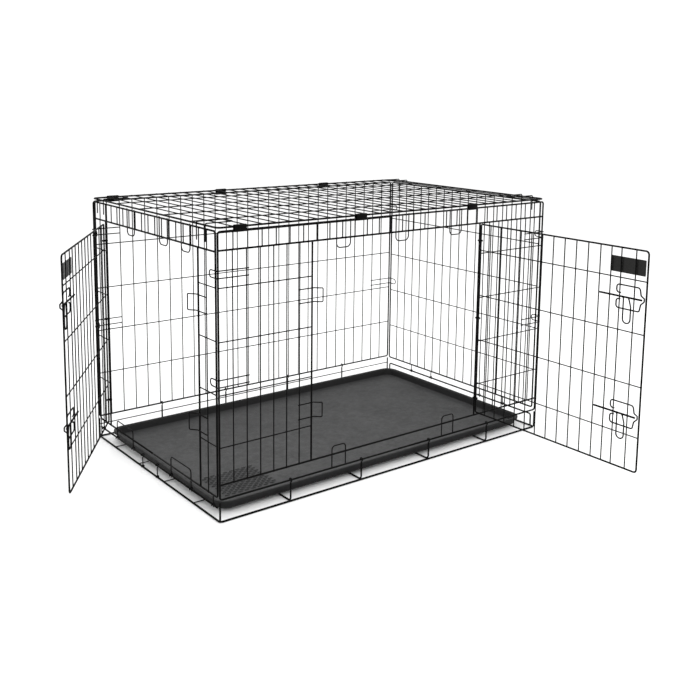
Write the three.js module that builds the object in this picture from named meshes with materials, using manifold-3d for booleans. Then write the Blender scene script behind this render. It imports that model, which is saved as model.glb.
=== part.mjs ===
// A folding wire dog crate with a front door, an end door and a plastic tray. Millimetres, +Z up.
// X runs along the crate and its front faces -Y. The origin is on the floor, under the middle of the
// front rail. Inside this file Y is measured from the middle of the crate, and the last lines shift it.
import * as THREE from 'three';
import { mergeVertices } from 'three/addons/utils/BufferGeometryUtils.js';
import Module from 'manifold-3d';

const wasm = await Module();
wasm.setup();

// Driving dimensions of the crate
const LENGTH = 1219;
const DEPTH = 776;
const TOP_Z = 767;
const PANEL_THICK = 6;
const FRAME_WIRE = 5.4;
const MESH_WIRE = 3.4;
const LONG_BAYS = 28;
const END_BAYS = 18;
const GAP = 0.35;

// Planes of the panels
const HALF_X = LENGTH / 2;
const HALF_Y = DEPTH / 2;
const SIDE_Y = HALF_Y - PANEL_THICK / 2;
const END_X = HALF_X - PANEL_THICK / 2;
const LID_Z = TOP_Z + 10;
const END_HALF = SIDE_Y - 9;

// Heights of the long wires
const FRONT_ROWS = [103, 203, 343, 483, 623, 719];
const FRONT_BOTTOM = 63;
const BACK_ROWS = [70, 212, 352, 490, 630, TOP_Z];
const RIGHT_ROWS = [68, 200, 343, 485, 627, TOP_Z];
const LEFT_ROWS = [66, 203, 341, 483, 622, 715];
const LID_ROWS = [-235, -80, 70, 225];

// Doorways, doors and their hinge axes
const FRONT_DOORWAY = 317;
const END_LATCH_Y = -283;
const END_HINGE_Y = 294;
const DOOR_THICK = 5;
const HINGE_OFFSET = 7.1;
const DOOR_EDGE_BAYS = [36, 32, 46, 37];
const FRONT_DOOR = { width: 600, rows: [115, 211, 351, 493, 635, 716], bays: 11, corner: 10, open: 90, side: 1 };
const END_DOOR = { width: 546, rows: [82, 197, 339, 483, 627, 706], bays: 10, corner: 20, open: 34, side: -1 };
FRONT_DOOR.latches = { upper: 583, lower: 262 };
END_DOOR.latches = { upper: 573, lower: 250 };

// Slide bolts, measured back from the free edge of a door
const ROD_RADIUS = 2.7;
const ROD_BACK = 153;
const ROD_TIP = 6;
const ROD_OUT = DOOR_THICK / 2 + 0.6 + ROD_RADIUS;
const BRACKET_BACK = 90;
const BRACKET_TIP = 14;
const BRACKET_HALF_HIGH = 35;
const HANDLE_BACK = 66;
const HANDLE_HALF = 12;
const HANDLE_DROP = 72;
const KEEPER_REACH = 12.9;

// End panels turn on rods held by the base
const LEFT_ROD_Z = 38;
const RIGHT_ROD_Z = 43;
const EYE_INNER = 3.4;
const EYE_OUTER = 6.9;
const EYE_THICK = 4;

// Tray
const TRAY = { halfX: 588, halfY: 352, corner: 42, floor: 6.35, top: 34.4, wall: 3, rim: 15 };

const steel = (name) => new THREE.MeshStandardMaterial({ name, color: 0x121213, roughness: 0.42, metalness: 0.35 });
const panelSteel = steel('powder_coated_wire');
const hardwareSteel = steel('powder_coated_hardware');
const trayPlastic = new THREE.MeshStandardMaterial({ color: 0x2b2c2e, roughness: 0.62, metalness: 0 });
const platePlastic = new THREE.MeshStandardMaterial({ color: 0x1b1b1a, roughness: 0.5, metalness: 0 });

const crate = new THREE.Group();

function add(parent, name, geometry, material = panelSteel) {
  const mesh = new THREE.Mesh(geometry, material);
  mesh.name = name;
  parent.add(mesh);
  return mesh;
}

// ---- joining solids ----

function toManifold(geometry) {
  const bare = geometry.clone();
  bare.deleteAttribute('normal');
  bare.deleteAttribute('uv');
  const merged = mergeVertices(bare, 1e-4);
  return new wasm.Manifold(new wasm.Mesh({
    numProp: 3,
    vertProperties: new Float32Array(merged.attributes.position.array),
    triVerts: new Uint32Array(merged.index.array),
  }));
}

function fromManifold(solid) {
  const mesh = solid.getMesh();
  const geometry = new THREE.BufferGeometry();
  geometry.setAttribute('position', new THREE.BufferAttribute(mesh.vertProperties, 3));
  geometry.setIndex(new THREE.BufferAttribute(mesh.triVerts, 1));
  return geometry;
}

const union = (geometries) => fromManifold(wasm.Manifold.union(geometries.map(toManifold)));

function box(x0, x1, y0, y1, z0, z1) {
  const geometry = new THREE.BoxGeometry(x1 - x0, y1 - y0, z1 - z0);
  return geometry.translate((x0 + x1) / 2, (y0 + y1) / 2, (z0 + z1) / 2);
}

// ---- flat welded grids ----

// A wire line of a grid: where it runs and how wide it is
const frameLine = (at) => ({ at, wide: FRAME_WIRE });
const meshLine = (at) => ({ at, wide: MESH_WIRE });

// A run of evenly pitched mesh wires between two frame wires
function evenLines(from, to, bays) {
  const pitch = (to - from) / bays;
  const lines = [frameLine(from)];
  for (let i = 1; i < bays; i += 1) {
    lines.push(meshLine(from + i * pitch));
  }
  lines.push(frameLine(to));
  return lines;
}

// The open cells between neighbouring wires, as [x0, x1, y0, y1]
function cells(across, up) {
  const open = [];
  for (let i = 0; i + 1 < across.length; i += 1) {
    for (let j = 0; j + 1 < up.length; j += 1) {
      open.push([
        across[i].at + across[i].wide / 2,
        across[i + 1].at - across[i + 1].wide / 2,
        up[j].at + up[j].wide / 2,
        up[j + 1].at - up[j + 1].wide / 2,
      ]);
    }
  }
  return open;
}

// A rectangle whose corners on its high-x side may be rounded
function rectanglePath(path, [x0, x1, y0, y1], lowRadius = 0, highRadius = 0) {
  path.moveTo(x0, y0);
  path.lineTo(x1 - lowRadius, y0);
  if (lowRadius > 0) {
    path.absarc(x1 - lowRadius, y0 + lowRadius, lowRadius, -Math.PI / 2, 0, false);
  }
  path.lineTo(x1, y1 - highRadius);
  if (highRadius > 0) {
    path.absarc(x1 - highRadius, y1 - highRadius, highRadius, 0, Math.PI / 2, false);
  }
  path.lineTo(x0, y1);
  return path;
}

// A plate of an XY shape, centred on Z = 0
function plate(shape, thick) {
  const geometry = new THREE.ExtrudeGeometry(shape, { depth: thick, bevelEnabled: false, curveSegments: 4 });
  return geometry.translate(0, 0, -thick / 2);
}

// A grid lying in the XY plane: a plate with its open cells cut out
function flatGrid(outline, openings, thick, corner = 0) {
  const inner = Math.max(corner - FRAME_WIRE, 0);
  const cutters = openings.map((cell) => {
    const atEdge = corner > 0 && cell[1] > outline[1] - FRAME_WIRE - 1;
    const atLow = atEdge && cell[2] < outline[2] + FRAME_WIRE + 1;
    const atHigh = atEdge && cell[3] > outline[3] - FRAME_WIRE - 1;
    const shape = rectanglePath(new THREE.Shape(), cell, atLow ? inner : 0, atHigh ? inner : 0);
    return toManifold(plate(shape, thick + 2));
  });
  const slab = toManifold(plate(rectanglePath(new THREE.Shape(), outline, corner, corner), thick));
  return fromManifold(slab.subtract(wasm.Manifold.union(cutters)));
}

// Stands an XY shape up so that its Y becomes Z, facing along Y
const standAlongX = (geometry) => geometry.rotateX(Math.PI / 2);

// Stands an XY shape up so that its X becomes Y and its Y becomes Z, facing along X
const standAlongY = (geometry) => geometry.rotateX(Math.PI / 2).rotateZ(Math.PI / 2);

// ---- bent wires ----

// A square-section wire bent through a list of points
function bentWire(points, diameter, steps) {
  const curve = new THREE.CurvePath();
  for (let i = 0; i + 1 < points.length; i += 1) {
    curve.add(new THREE.LineCurve3(points[i], points[i + 1]));
  }
  return sweptWire(curve, diameter, steps);
}

function sweptWire(curve, diameter, steps) {
  const half = diameter * 0.45;
  const section = rectanglePath(new THREE.Shape(), [-half, half, -half, half]);
  return new THREE.ExtrudeGeometry(section, { steps, bevelEnabled: false, extrudePath: curve });
}

// A ring plate in the XY plane: a long hole with chamfered corners inside a larger one
function ringPlate(outer, inner, thick, chamfer, innerChamfer = 0.2) {
  const eightSided = (path, [x0, x1, y0, y1], cut) => {
    path.moveTo(x0 + cut, y0);
    path.lineTo(x1 - cut, y0);
    path.lineTo(x1, y0 + cut);
    path.lineTo(x1, y1 - cut);
    path.lineTo(x1 - cut, y1);
    path.lineTo(x0 + cut, y1);
    path.lineTo(x0, y1 - cut);
    path.lineTo(x0, y0 + cut);
    return path;
  };
  const shape = eightSided(new THREE.Shape(), outer, chamfer);
  shape.holes.push(eightSided(new THREE.Path(), inner, innerChamfer));
  return plate(shape, thick);
}

// An eye that turns on a rod, in the XY plane
function eye() {
  const outer = [-EYE_OUTER, EYE_OUTER, -EYE_OUTER, EYE_OUTER];
  const inner = [-EYE_INNER, EYE_INNER, -EYE_INNER, EYE_INNER];
  return ringPlate(outer, inner, EYE_THICK, EYE_OUTER * 0.58, EYE_INNER * 0.58);
}

// ---- base frame ----

const POST = 6;
const LONG_FLOOR_WIRES = [-243, -68, 95, 262];
const CROSS_FLOOR_WIRES = [-385, -138, 125, 377];
const FRONT_POST_TOP = FRONT_BOTTOM - EYE_OUTER - GAP;
const BACK_POST_TOP = BACK_ROWS[0] - EYE_OUTER - GAP;
const BACK_RIM_Z = 43;
const ROD_END = 372;
const LEFT_ROD_LEGS = [-25, 70];
const RIGHT_ROD_LEGS = [-ROD_END + 4, ROD_END - 4];

function baseFloor() {
  const across = [frameLine(-END_X), ...CROSS_FLOOR_WIRES.map(frameLine), frameLine(END_X)];
  const along = [frameLine(-SIDE_Y), ...LONG_FLOOR_WIRES.map(meshLine), frameLine(SIDE_Y)];
  const outline = [-HALF_X, HALF_X, -HALF_Y, HALF_Y];
  return flatGrid(outline, cells(across, along), POST).translate(0, 0, POST / 2);
}

// A rod on which an end panel turns, with the two legs that carry it
function hingeRod(x, z, legs) {
  const rod = new THREE.CylinderGeometry(ROD_RADIUS, ROD_RADIUS, 2 * ROD_END, 8).translate(0, 0, 0);
  rod.translate(x, 0, z);
  const half = MESH_WIRE / 2;
  return [rod, ...legs.map((y) => box(x - half, x + half, y - half, y + half, POST / 2, z))];
}

function baseFrame() {
  const half = POST / 2;
  const parts = [baseFloor()];
  const upright = (x, y, top) => parts.push(box(x - half, x + half, y - half, y + half, half, top));
  for (const x of [-END_X, ...CROSS_FLOOR_WIRES, END_X]) {
    upright(x, -SIDE_Y, FRONT_POST_TOP);
    upright(x, SIDE_Y, BACK_POST_TOP);
  }
  const wire = MESH_WIRE / 2;
  parts.push(box(-END_X, END_X, SIDE_Y - wire, SIDE_Y + wire, BACK_RIM_Z - wire, BACK_RIM_Z + wire));
  parts.push(...hingeRod(-END_X, LEFT_ROD_Z, LEFT_ROD_LEGS));
  parts.push(...hingeRod(END_X, RIGHT_ROD_Z, RIGHT_ROD_LEGS));
  return union(parts);
}

// ---- tray ----

function roundedRectangle(path, halfX, halfY, radius) {
  path.moveTo(-halfX + radius, -halfY);
  path.lineTo(halfX - radius, -halfY);
  path.absarc(halfX - radius, -halfY + radius, radius, -Math.PI / 2, 0, false);
  path.absarc(halfX - radius, halfY - radius, radius, 0, Math.PI / 2, false);
  path.absarc(-halfX + radius, halfY - radius, radius, Math.PI / 2, Math.PI, false);
  path.absarc(-halfX + radius, -halfY + radius, radius, Math.PI, Math.PI * 1.5, false);
  return path;
}

// A slab of the tray's outline, set in from its outer edge, with an optional hole set in further
function traySlab(inset, holeInset, z0, z1) {
  const sized = (path, by) => roundedRectangle(path, TRAY.halfX - by, TRAY.halfY - by, TRAY.corner - by);
  const shape = sized(new THREE.Shape(), inset);
  if (holeInset) {
    shape.holes.push(sized(new THREE.Path(), holeInset));
  }
  const geometry = new THREE.ExtrudeGeometry(shape, { depth: z1 - z0, bevelEnabled: false, curveSegments: 5 });
  return geometry.translate(0, 0, z0);
}

function trayGeometry() {
  const wallOut = TRAY.rim - TRAY.wall;
  return union([
    traySlab(wallOut, 0, TRAY.floor, TRAY.floor + TRAY.wall),
    traySlab(wallOut, TRAY.rim, TRAY.floor, TRAY.top),
    traySlab(0, TRAY.rim, TRAY.top - TRAY.wall, TRAY.top),
  ]);
}

// ---- panels ----

function frontPanel() {
  const rows = FRONT_ROWS.map((z, i) => (i === 0 || i === FRONT_ROWS.length - 1 ? frameLine(z) : meshLine(z)));
  const fixedBays = 7;
  const rightSide = evenLines(FRONT_DOORWAY, END_X, fixedBays);
  const leftSide = evenLines(-END_X, -FRONT_DOORWAY, fixedBays);
  const header = [frameLine(FRONT_ROWS[FRONT_ROWS.length - 1]), frameLine(TOP_Z)];
  const sill = [frameLine(FRONT_BOTTOM), frameLine(FRONT_ROWS[0])];
  const doorway = [frameLine(-FRONT_DOORWAY), frameLine(FRONT_DOORWAY)];
  const open = [
    ...cells(evenLines(-END_X, END_X, LONG_BAYS), header),
    ...cells(leftSide, rows),
    ...cells(rightSide, rows),
    ...cells(doorway, [rows[0], rows[rows.length - 1]]),
    ...cells([frameLine(-END_X), frameLine(END_X)], sill),
  ];
  const outline = [-HALF_X, HALF_X, FRONT_BOTTOM - FRAME_WIRE / 2, TOP_Z + FRAME_WIRE / 2];
  const panel = standAlongX(flatGrid(outline, open, PANEL_THICK)).translate(0, -SIDE_Y, 0);
  return union([panel, ...cornerHooks(FRONT_HOOKS)]);
}

// A panel that is mesh all over, with a thick wire round its edge
// Corner hairpins: two legs welded along a panel's outer face, with the loop turned round the end panel's post.
const HOOK_LEG = 92;
const HOOK_WRAP = 34;
const HOOK_HALF = 9.5;
const FRONT_HOOKS = [376, 659];

function cornerHooks(levels) {
  const face = PANEL_THICK / 2 + MESH_WIRE / 2 - 0.5;
  const past = HALF_X + 0.4 + MESH_WIRE / 2;
  const hooks = [];
  for (const end of [-1, 1]) {
    for (const z of levels) {
      const leg = [[HALF_X - HOOK_LEG, face], [past - 5, face], [past - 1.4, face - 1.4], [past, face - 5], [past, 4 - HOOK_WRAP]];
      const loop = leg.map(([x, y]) => new THREE.Vector3(end * x, -SIDE_Y - y, z - HOOK_HALF));
      const back = leg.map(([x, y]) => new THREE.Vector3(end * x, -SIDE_Y - y, z + HOOK_HALF)).reverse();
      const tip = [-5, 5].map((rise) => new THREE.Vector3(end * past, HOOK_WRAP - SIDE_Y, z + rise));
      hooks.push(bentWire([...loop, ...tip, ...back], MESH_WIRE, 40));
    }
  }
  return hooks;
}

function fullGrid(halfWide, bays, rows) {
  const edge = FRAME_WIRE / 2;
  const up = rows.map((z, i) => (i === 0 || i === rows.length - 1 ? frameLine(z) : meshLine(z)));
  const outline = [-halfWide, halfWide, rows[0] - edge, rows[rows.length - 1] + edge];
  return flatGrid(outline, cells(evenLines(-halfWide + edge, halfWide - edge, bays), up), PANEL_THICK);
}

function lidPanel() {
  const rows = [-SIDE_Y, ...LID_ROWS, SIDE_Y];
  return fullGrid(HALF_X, LONG_BAYS, rows).translate(0, 0, LID_Z);
}

// A foot below an end panel: a leg from the bottom wire down to an eye on the hinge rod
function endFeet(ys, top, rodZ) {
  const half = MESH_WIRE / 2;
  const eyes = ys.map((y) => eye().rotateX(Math.PI / 2).translate(0, y, rodZ));
  const legs = ys.map((y) => box(-half, half, y - half, y + half, rodZ + EYE_OUTER - 2, top));
  return [...eyes, ...legs];
}

function rightEndPanel() {
  const feet = endFeet([-240, -128, 128, 240], RIGHT_ROWS[0], RIGHT_ROD_Z);
  return union([standAlongY(fullGrid(END_HALF, END_BAYS, RIGHT_ROWS)), ...feet]).translate(END_X, 0, 0);
}

const LEFT_HOOPS = [[-229, -112], [135, 248]];
const HOOP_TOP = 94;

function leftEndPanel() {
  const edge = END_HALF - FRAME_WIRE / 2;
  const header = [frameLine(LEFT_ROWS[LEFT_ROWS.length - 1]), frameLine(TOP_Z)];
  const up = LEFT_ROWS.map((z, i) => (i === 0 || i === LEFT_ROWS.length - 1 ? frameLine(z) : meshLine(z)));
  const open = [
    ...cells(evenLines(-edge, edge, END_BAYS), header),
    ...cells(evenLines(-edge, END_LATCH_Y, 2), up),
    ...cells(evenLines(END_HINGE_Y, edge, 2), up),
    ...cells([frameLine(END_LATCH_Y), frameLine(END_HINGE_Y)], [up[0], up[up.length - 1]]),
  ];
  const outline = [-END_HALF, END_HALF, LEFT_ROWS[0] - FRAME_WIRE / 2, TOP_Z + FRAME_WIRE / 2];
  const parts = [standAlongY(flatGrid(outline, open, PANEL_THICK))];
  const half = MESH_WIRE / 2;
  for (const [y0, y1] of LEFT_HOOPS) {
    parts.push(...endFeet([y0, y1], HOOP_TOP, LEFT_ROD_Z));
    parts.push(box(-half, half, y0 - half, y1 + half, HOOP_TOP - half, HOOP_TOP + half));
  }
  return union(parts).translate(-END_X, 0, 0);
}

// ---- door stops and latch keepers ----

// A flat hairpin of wire in the XY plane, closed at its low end
function hairpin(halfWide, length) {
  const outer = halfWide + MESH_WIRE / 2;
  const inner = halfWide - MESH_WIRE / 2;
  const shape = new THREE.Shape();
  shape.moveTo(-outer, length);
  shape.lineTo(-outer, outer);
  shape.absarc(0, outer, outer, Math.PI, 2 * Math.PI, false);
  shape.lineTo(outer, length);
  shape.lineTo(inner, length);
  shape.lineTo(inner, outer);
  shape.absarc(0, outer, inner, 2 * Math.PI, Math.PI, true);
  shape.lineTo(-inner, length);
  return plate(shape, MESH_WIRE);
}

const STOP_HALF = 24;
const STOP_LOW = 690;
const SILL_STOP_HIGH = 126;
const INSIDE = PANEL_THICK / 2 + GAP + MESH_WIRE / 2;

function frontStops() {
  const length = TOP_Z + FRAME_WIRE / 2 - STOP_LOW;
  [-208, 5, 218].forEach((x, i) => {
    const stop = standAlongX(hairpin(STOP_HALF, length)).translate(x, -SIDE_Y + INSIDE, STOP_LOW);
    add(crate, `front_door_stop_${i + 1}`, stop);
  });
  const foot = FRONT_BOTTOM - FRAME_WIRE / 2;
  [-217, 207].forEach((x, i) => {
    const arch = standAlongX(hairpin(STOP_HALF, SILL_STOP_HIGH - foot).rotateX(Math.PI));
    add(crate, `front_sill_stop_${i + 1}`, arch.translate(x, -SIDE_Y + INSIDE, SILL_STOP_HIGH));
  });
}

function endStops() {
  const length = TOP_Z + FRAME_WIRE / 2 - STOP_LOW;
  [-208, -80, 127].forEach((y, i) => {
    const stop = standAlongY(hairpin(STOP_HALF, length)).translate(-END_X + INSIDE, y, STOP_LOW);
    add(crate, `end_door_stop_${i + 1}`, stop);
  });
}

// A keeper for a bolt: two legs on the outside of the latch strip, and a loop bent away from it.
// It is drawn with X towards the doorway and Y away from the crate.
function keeper(low, high, start, tip) {
  const face = PANEL_THICK / 2 + GAP + MESH_WIRE / 2;
  const out = HINGE_OFFSET + KEEPER_REACH;
  const profile = [[start, face], [tip - 20, face], [tip - 6, out - 2], [tip, out]];
  const lower = profile.map(([x, y]) => new THREE.Vector3(x, y, low));
  const upper = profile.map(([x, y]) => new THREE.Vector3(x, y, high)).reverse();
  return bentWire([...lower, ...upper], MESH_WIRE, 26);
}

function keepers() {
  const spans = { upper: [554, 592], lower: [231, 272] };
  const endSpans = { upper: [549, 592], lower: [224, 270] };
  for (const which of ['upper', 'lower']) {
    const front = keeper(...spans[which], 2, 72);
    front.rotateX(Math.PI).translate(-FRONT_DOORWAY - 50, -SIDE_Y, spans[which][0] + spans[which][1]);
    add(crate, `front_${which}_keeper`, front);
    const end = keeper(...endSpans[which], 2, 72).rotateZ(Math.PI / 2);
    add(crate, `end_${which}_keeper`, end.translate(-END_X, END_LATCH_Y - 50, 0));
  }
}

// ---- clips between panels ----

const SLEEVE_LONG = 36;
const SLEEVE_WALL = 1.5;

// Sleeves that join the lid to the front and back panels, each between two mesh wires
function lidSleeves() {
  const pitch = (2 * END_X) / LONG_BAYS;
  const low = TOP_Z - FRAME_WIRE / 2 - GAP;
  const high = LID_Z + PANEL_THICK / 2 + GAP;
  const inner = [-PANEL_THICK / 2 - GAP, PANEL_THICK / 2 + GAP, low, high];
  const outer = [inner[0] - SLEEVE_WALL, inner[1] + SLEEVE_WALL, low - SLEEVE_WALL, high + SLEEVE_WALL];
  [1.5, 10.5, 20.5].forEach((bay, i) => {
    const x = -END_X + bay * pitch;
    for (const [side, y] of [['front', -SIDE_Y], ['back', SIDE_Y]]) {
      const sleeve = standAlongY(ringPlate(outer, inner, SLEEVE_LONG, 1.2)).translate(x, y, 0);
      add(crate, `${side}_lid_sleeve_${i + 1}`, sleeve, hardwareSteel);
    }
  });
}

// Eyes that hold the bottom wires of the front and back panels on the base posts
function baseEyes() {
  const inner = [-PANEL_THICK / 2 - GAP, PANEL_THICK / 2 + GAP, -FRAME_WIRE / 2 - GAP, FRAME_WIRE / 2 + GAP];
  const outer = [-EYE_OUTER, EYE_OUTER, -EYE_OUTER, EYE_OUTER];
  CROSS_FLOOR_WIRES.forEach((x, i) => {
    for (const [side, y, z] of [['front', -SIDE_Y, FRONT_BOTTOM], ['back', SIDE_Y, BACK_ROWS[0]]]) {
      const ring = standAlongY(ringPlate(outer, inner, EYE_THICK, 2)).translate(x, y, z);
      add(crate, `${side}_base_eye_${i + 1}`, ring, hardwareSteel);
    }
  });
}

// Hooks over the lid's end wires: their legs hang outside the end panels and keep them upright
function lidHooks() {
  const outside = HALF_X + 0.9 + MESH_WIRE / 2;
  const inside = END_X - PANEL_THICK / 2 - MESH_WIRE / 2 - 1;
  const over = LID_Z + PANEL_THICK / 2 + 0.9 + MESH_WIRE / 2;
  const profile = [[outside, 735], [outside, over - 2], [outside - 2, over], [inside + 2, over], [inside, over - 2]];
  profile.push([inside, TOP_Z + 7]);
  for (const [end, sign] of [['left', -1], ['right', 1]]) {
    for (const [corner, y] of [['front', -310], ['back', 318]]) {
      const near = profile.map(([x, z]) => new THREE.Vector3(sign * x, y - 23, z));
      const far = profile.map(([x, z]) => new THREE.Vector3(sign * x, y + 23, z)).reverse();
      add(crate, `${end}_${corner}_lid_hook`, bentWire([...near, ...far], MESH_WIRE, 34), hardwareSteel);
    }
  }
}

// ---- doors ----

// A door lies in its own group: X from the hinge to the free edge, Y across it, Z up
function doorGeometry(door) {
  const edgeBays = DOOR_EDGE_BAYS.reduce((sum, bay) => sum + bay, 0);
  const pitch = (door.width - edgeBays) / door.bays;
  const across = [frameLine(0)];
  for (let i = 1; i <= door.bays; i += 1) {
    across.push(meshLine(i * pitch));
  }
  for (const bay of DOOR_EDGE_BAYS) {
    across.push(meshLine(across[across.length - 1].at + bay));
  }
  across[across.length - 1] = frameLine(door.width);
  const last = door.rows.length - 1;
  const up = door.rows.map((z, i) => (i === 0 || i === last ? frameLine(z) : meshLine(z)));
  const edge = FRAME_WIRE / 2;
  const outline = [-edge, door.width + edge, door.rows[0] - edge, door.rows[last] + edge];
  return standAlongX(flatGrid(outline, cells(across, up), DOOR_THICK, door.corner));
}

function doorPlate(door) {
  const face = DOOR_THICK / 2 + GAP;
  const across = [door.width - 120, door.width - 6 - FRAME_WIRE / 2];
  const top = door.rows[door.rows.length - 1] - 25;
  const shape = rectanglePath(new THREE.Shape(), [...across, top - 43, top]);
  return standAlongX(plate(shape, 1.6)).translate(0, door.side * (face + 0.8), 0);
}

// The bracket that guides a rod: open round it on one side, bumped out over it on the other
function bracket(door, rodZ) {
  const near = door.width - BRACKET_BACK;
  const far = door.width - BRACKET_TIP;
  const flat = DOOR_THICK / 2 + GAP + MESH_WIRE / 2;
  const bump = ROD_OUT + ROD_RADIUS + MESH_WIRE / 2 + 1;
  const high = BRACKET_HALF_HIGH;
  const outline = [
    [near, flat, 6], [near, flat, high - 6], [near + 6, flat, high], [far - 6, flat, high],
    [far, flat, high - 6], [far, flat, 11], [far, bump, 5], [far, bump, -5], [far, flat, -11],
    [far, flat, 6 - high], [far - 6, flat, -high], [near + 6, flat, -high], [near, flat, 6 - high],
    [near, flat, -6],
  ];
  const points = outline.map(([x, y, z]) => new THREE.Vector3(x, door.side * y, rodZ + z));
  return bentWire(points, MESH_WIRE, 44);
}

// The paddle handle: a loop that hangs from the rod, outside the bracket
function handle(door, rodZ) {
  const centre = door.width - HANDLE_BACK;
  const start = (ROD_RADIUS + 1) * Math.SQRT1_2;
  const out = 4.6;
  const loop = [
    [-HANDLE_HALF, start, -start], [-HANDLE_HALF, out, -out - 2], [-HANDLE_HALF, out, -30],
    [-HANDLE_HALF, out, -58], [-HANDLE_HALF * 0.7, out, -68], [0, out, -HANDLE_DROP],
    [HANDLE_HALF * 0.7, out, -68], [HANDLE_HALF, out, -58], [HANDLE_HALF, out, -30],
    [HANDLE_HALF - 5, out, -out - 2], [HANDLE_HALF - 7, start, -start],
  ];
  const points = loop.map(([x, y, z]) => new THREE.Vector3(centre + x, door.side * (ROD_OUT + y), rodZ + z));
  return bentWire(points, MESH_WIRE, 28);
}

function rod(door, rodZ) {
  const length = ROD_BACK - ROD_TIP;
  const geometry = new THREE.CylinderGeometry(ROD_RADIUS, ROD_RADIUS, length, 10).rotateZ(Math.PI / 2);
  return geometry.translate(door.width - (ROD_BACK + ROD_TIP) / 2, door.side * ROD_OUT, rodZ);
}

// Clips fixed to the doorway's edge wire, in which the door's hinge wire turns
function hingeClip() {
  const inner = [-3.9, 3.9, -3.4, HINGE_OFFSET + 4];
  const outer = [-6.1, 6.1, -5.6, HINGE_OFFSET + 6.2];
  return ringPlate(outer, inner, MESH_WIRE, 1.6);
}

function addDoor(name, door, hingeX, hingeY, closedTurn) {
  const group = new THREE.Group();
  group.position.set(hingeX, hingeY, 0);
  group.rotation.z = THREE.MathUtils.degToRad(closedTurn + door.side * door.open);
  crate.add(group);
  add(group, `${name}_door`, doorGeometry(door));
  add(group, `${name}_door_plate`, doorPlate(door), platePlastic);
  for (const [which, z] of Object.entries(door.latches)) {
    add(group, `${name}_${which}_bracket`, bracket(door, z), hardwareSteel);
    add(group, `${name}_${which}_bolt`, rod(door, z), hardwareSteel);
    add(group, `${name}_${which}_handle`, handle(door, z), hardwareSteel);
  }
}

function doors() {
  addDoor('front', FRONT_DOOR, FRONT_DOORWAY, -SIDE_Y - HINGE_OFFSET, 180);
  addDoor('end', END_DOOR, -END_X - HINGE_OFFSET, END_HINGE_Y, 270);
  [160, 420, 665].forEach((z, i) => {
    const front = hingeClip().rotateX(Math.PI).translate(FRONT_DOORWAY, -SIDE_Y, z);
    add(crate, `front_hinge_clip_${i + 1}`, front, hardwareSteel);
    const end = hingeClip().rotateZ(Math.PI / 2).translate(-END_X, END_HINGE_Y, z - 10);
    add(crate, `end_hinge_clip_${i + 1}`, end, hardwareSteel);
  });
}

add(crate, 'base_frame', baseFrame());
add(crate, 'tray', trayGeometry(), trayPlastic);
add(crate, 'front_panel', frontPanel());
add(crate, 'back_panel', standAlongX(fullGrid(HALF_X, LONG_BAYS, BACK_ROWS)).translate(0, SIDE_Y, 0));
add(crate, 'left_end_panel', leftEndPanel());
add(crate, 'right_end_panel', rightEndPanel());
add(crate, 'top_panel', lidPanel());
frontStops();
endStops();
keepers();
lidSleeves();
baseEyes();
lidHooks();
doors();

crate.position.y = SIDE_Y;

export default crate;
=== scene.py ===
"""A folding wire dog crate: black powder coated wire, slide bolt doors and a moulded tray."""

import math

import bpy
from mathutils import Matrix, Vector


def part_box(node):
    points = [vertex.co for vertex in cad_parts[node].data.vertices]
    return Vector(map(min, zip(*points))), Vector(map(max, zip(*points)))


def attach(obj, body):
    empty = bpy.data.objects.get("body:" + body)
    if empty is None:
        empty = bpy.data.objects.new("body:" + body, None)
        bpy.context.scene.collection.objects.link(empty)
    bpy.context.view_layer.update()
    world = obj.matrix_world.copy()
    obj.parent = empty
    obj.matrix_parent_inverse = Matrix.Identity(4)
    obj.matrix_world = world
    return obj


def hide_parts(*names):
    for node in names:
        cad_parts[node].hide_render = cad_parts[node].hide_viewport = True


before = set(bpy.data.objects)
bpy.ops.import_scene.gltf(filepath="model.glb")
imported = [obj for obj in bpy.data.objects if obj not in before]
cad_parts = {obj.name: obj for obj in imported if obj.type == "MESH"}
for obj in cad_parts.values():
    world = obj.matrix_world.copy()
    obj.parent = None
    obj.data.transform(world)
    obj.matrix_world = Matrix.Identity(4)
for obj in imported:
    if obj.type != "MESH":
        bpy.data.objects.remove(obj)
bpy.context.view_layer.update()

# Lengths are in millimetres until MM turns them into metres.
MM = 0.001
FRAME_RADIUS = 2.7
MESH_RADIUS = 1.7
DOOR_FRAME_RADIUS = 2.5
PANEL_HALF = 3
GAP = 0.35
OVERLAP = 2
RAIL_SHIFT = 0.2
BEND_STEP = math.radians(16)
CUT_END = 0.62
SMOOTH_ANGLE = math.radians(50)


def span(node):
    """Lowest and highest corner of a CAD node, in millimetres."""
    low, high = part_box(node)
    return Vector(low) / MM, Vector(high) / MM


# The crate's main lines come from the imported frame.
BASE_LOW, BASE_HIGH = span("base_frame")
FRONT_LOW, FRONT_HIGH = span("front_panel")
BACK_LOW, BACK_HIGH = span("back_panel")
LEFT_LOW, LEFT_HIGH = span("left_end_panel")
RIGHT_LOW, RIGHT_HIGH = span("right_end_panel")
LID_LOW, LID_HIGH = span("top_panel")
FRONT_Y = BASE_LOW.y + PANEL_HALF
BACK_Y = BASE_HIGH.y - PANEL_HALF
MIDDLE_Y = (FRONT_Y + BACK_Y) / 2
POST_X = BASE_HIGH.x - PANEL_HALF
TOP_Z = FRONT_HIGH.z - FRAME_RADIUS
LID_Z = (LID_LOW.z + LID_HIGH.z) / 2
END_EDGE = (RIGHT_HIGH.y - RIGHT_LOW.y) / 2 - FRAME_RADIUS

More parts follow.
